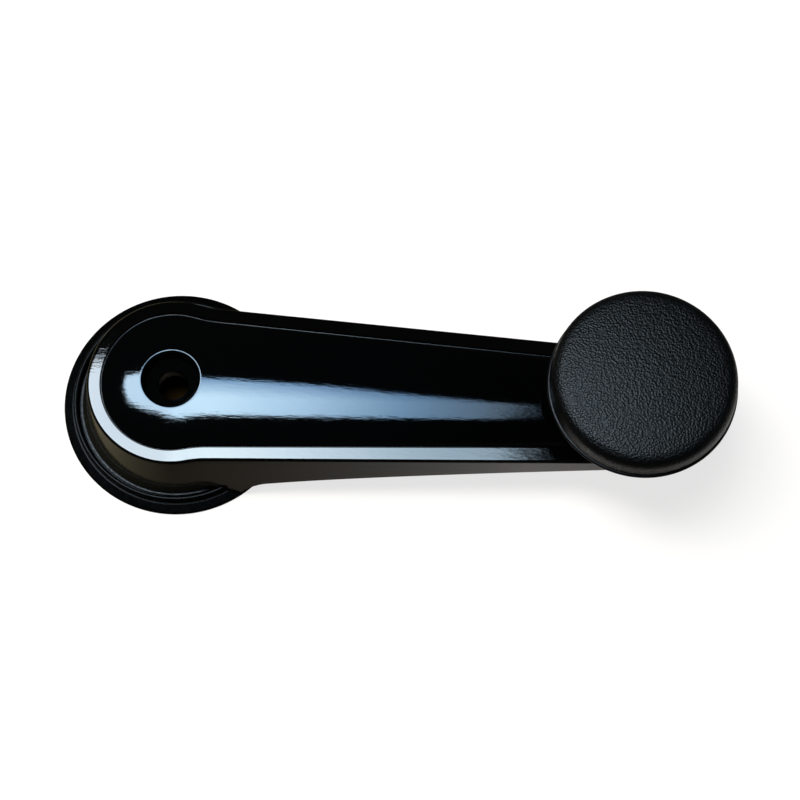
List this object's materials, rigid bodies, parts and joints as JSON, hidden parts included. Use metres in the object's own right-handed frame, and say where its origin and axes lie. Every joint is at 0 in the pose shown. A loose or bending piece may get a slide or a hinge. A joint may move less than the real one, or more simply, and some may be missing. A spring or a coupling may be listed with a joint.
{
  "type": "window winder handle",
  "caption": "Hand crank for winding a window: tapered gloss-black arm with raised crown on a round stepped escutcheon, open screw counterbore at the hub and a spinning grained knob at the end.",
  "frame": {"origin": "on the hub axis, in the plane of the door panel that the escutcheon lies against, at the mouth of the spindle socket", "axes": "+X from the hub along the crank to the knob, +Z away from the door into the cabin, +Y completes the right-handed frame"},
  "size_m": [0.1314, 0.046, 0.0353],
  "materials": {
    "gloss_paint": "high-gloss black stove enamel on die-cast metal",
    "gloss_moulding": "gloss black moulding",
    "grained_cap": "soft black plastic with a fine leather grain",
    "satin_moulding": "satin black moulding",
    "nylon": "black nylon",
    "foam": "dark grey closed-cell foam",
    "bright_steel": "zinc-plated steel",
    "spring_steel": "oiled spring steel",
    "bronze": "sintered bronze"
  },
  "bodies": {
    "door_side": {"escutcheon": "gloss_moulding", "escutcheon_gasket": "foam", "slip_washer": "nylon", "anti_rattle_spring": "spring_steel"},
    "crank": {"crank_arm": "gloss_paint", "spline_insert": "bright_steel", "knob_pin": "bright_steel", "pin_seat_washer": "bright_steel", "pin_backing_washer": "bright_steel"},
    "knob": {"knob_base": "satin_moulding", "knob_cap": "grained_cap", "knob_bush": "bronze", "knob_thrust_washer": "nylon", "knob_wave_washer": "spring_steel"}
  },
  "joints": [
    {"name": "crank_turn", "type": "hinge", "parent": "door_side", "child": "crank", "pos_m": [0, 0, 0], "axis": [0, 0, 1], "continuous": true},
    {"name": "knob_spin", "type": "hinge", "parent": "crank", "child": "knob", "pos_m": [0.0904, 0, 0.0184], "axis": [0, 0, 1], "continuous": true}
  ]
}
